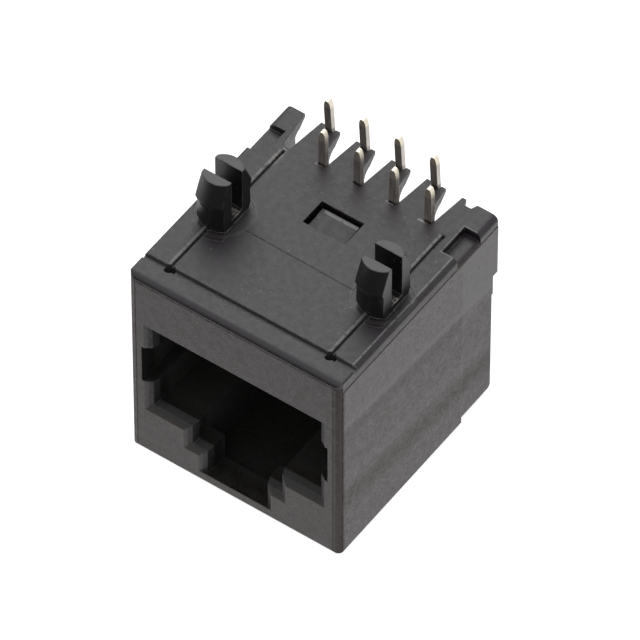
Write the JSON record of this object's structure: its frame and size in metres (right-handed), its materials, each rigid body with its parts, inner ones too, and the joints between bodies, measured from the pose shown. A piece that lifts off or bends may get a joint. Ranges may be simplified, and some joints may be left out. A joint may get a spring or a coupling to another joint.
{
  "type": "modular board jack",
  "caption": "Right-angle board jack for a latched modular plug, with a moulded black housing, split locating pegs and staggered rows of solder pins.",
  "frame": {"origin": "on the board face, midway between the two locating pegs", "axes": "+X to the right seen from the plug side, +Y from the plug opening to the rear, +Z out of the board face along the pegs and solder pins"},
  "size_m": [0.0152, 0.0162, 0.0191],
  "materials": {
    "housing_black": "fine spark-eroded texture",
    "insert_black": "satin",
    "contact_wire": "plated wire, tin-grey with pale gold ends"
  },
  "bodies": {
    "root": {"housing": "housing_black", "contact_insert": "insert_black", "contact_1": "contact_wire", "contact_2": "contact_wire", "contact_3": "contact_wire", "contact_4": "contact_wire", "contact_5": "contact_wire", "contact_6": "contact_wire", "contact_7": "contact_wire", "contact_8": "contact_wire"}
  },
  "joints": []
}
